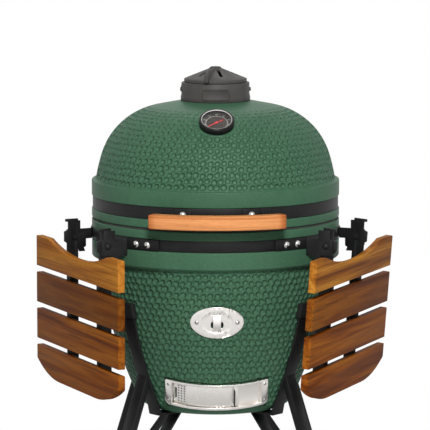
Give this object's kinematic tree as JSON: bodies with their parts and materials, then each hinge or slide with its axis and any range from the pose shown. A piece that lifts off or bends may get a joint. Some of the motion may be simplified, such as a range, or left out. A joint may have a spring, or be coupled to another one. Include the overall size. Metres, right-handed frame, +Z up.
{
  "type": "kamado charcoal grill",
  "caption": "Egg-shaped ceramic charcoal grill on a splayed stand, with hinged domed lid, turning chimney cap, sliding air intake and folding wooden side shelves.",
  "frame": {"origin": "on the floor, under the axis of the ceramic body", "axes": "+Z up, front faces -Y, +X to the right of the front view"},
  "size_m": [0.7735, 0.6672, 1.1589],
  "materials": {
    "green_glaze": "glossy dimpled green glaze",
    "fire_clay": "bare fired clay",
    "felt": "pressed black felt",
    "black_steel": "black powder coat",
    "chrome": "polished",
    "stainless": "brushed",
    "cast_iron": "dark, matt",
    "acacia": "oiled acacia",
    "handle_wood": "oiled",
    "gauge_black": "satin black",
    "gauge_dial": "printed dial with plain numbers",
    "gauge_red": "red enamel",
    "gauge_glass": "clear",
    "foot_plastic": "moulded"
  },
  "bodies": {
    "root": {"band_bolts": "chrome", "base_band": "black_steel", "base_gasket": "felt", "base_shell": "green_glaze", "bracket_left_front": "black_steel", "bracket_left_rear": "black_steel", "bracket_right_front": "black_steel", "bracket_right_rear": "black_steel", "charcoal_grate": "cast_iron", "cooking_grate": "stainless", "draft_frame": "stainless", "fire_box": "fire_clay", "fire_ring": "fire_clay", "hinge_base_bracket": "black_steel", "hinge_pin": "stainless", "hinge_springs": "stainless", "leg_feet": "foot_plastic", "leg_front_left": "black_steel", "leg_front_right": "black_steel", "leg_rear_left": "black_steel", "leg_rear_right": "black_steel", "plate_screws": "chrome", "shelf_pivot_bolts": "black_steel", "stand_braces": "black_steel", "stand_hub": "black_steel", "starter_plate": "stainless", "strap_caps": "foot_plastic", "strap_front_left": "black_steel", "strap_front_right": "black_steel", "strap_rear_left": "black_steel", "strap_rear_right": "black_steel"},
    "lid": {"lid_shell": "green_glaze", "lid_gasket": "felt", "lid_band": "black_steel", "lid_handle": "handle_wood", "handle_brackets": "black_steel", "handle_nuts": "chrome", "hinge_lid_arm": "black_steel", "vent_collar": "cast_iron", "vent_pivot_bolt": "black_steel", "thermometer_case": "gauge_black", "thermometer_dial": "gauge_dial", "thermometer_glass": "gauge_glass"},
    "vent_cap": {"vent_cap": "cast_iron"},
    "needle": {"thermometer_needle": "gauge_red"},
    "draft_door": {"draft_door": "stainless"},
    "ash_screen": {"ash_screen": "stainless"},
    "left_shelf": {"left_arm_front": "black_steel", "left_arm_rear": "black_steel", "left_slat_1": "acacia", "left_slat_2": "acacia", "left_slat_3": "acacia", "left_slat_4": "acacia"},
    "right_shelf": {"right_arm_front": "black_steel", "right_arm_rear": "black_steel", "right_slat_1": "acacia", "right_slat_2": "acacia", "right_slat_3": "acacia", "right_slat_4": "acacia"}
  },
  "joints": [
    {"name": "lid_hinge", "type": "hinge", "parent": "root", "child": "lid", "pos_m": [0, 0.316, 0.84], "axis": [-1, 0, 0], "range_deg": [0, 80]},
    {"name": "vent_cap_turn", "type": "hinge", "parent": "lid", "child": "vent_cap", "pos_m": [0, 0, 1.12635], "axis": [0, 0, 1], "range_deg": [-30, 30]},
    {"name": "needle_turn", "type": "hinge", "parent": "lid", "child": "needle", "pos_m": [0, -0.1786, 1.05131], "axis": [0, -0.5373, 0.8434], "range_deg": [-260, 10]},
    {"name": "draft_door_slide", "type": "hinge", "parent": "root", "child": "draft_door", "pos_m": [0, -0.0022, 0.53243], "axis": [0, -0.3007, 0.9537], "range_deg": [-7.5, 13.5]},
    {"name": "ash_screen_slide", "type": "hinge", "parent": "root", "child": "ash_screen", "pos_m": [0, -0.0022, 0.53243], "axis": [0, -0.3007, 0.9537], "range_deg": [0, 26]},
    {"name": "left_shelf_fold", "type": "hinge", "parent": "root", "child": "left_shelf", "pos_m": [-0.26564, -0.11882, 0.799], "axis": [-0.4083, 0.9128, 0], "range_deg": [0, 90]},
    {"name": "right_shelf_fold", "type": "hinge", "parent": "root", "child": "right_shelf", "pos_m": [0.26564, -0.11882, 0.799], "axis": [-0.4083, -0.9128, 0], "range_deg": [0, 94.5]}
  ]
}
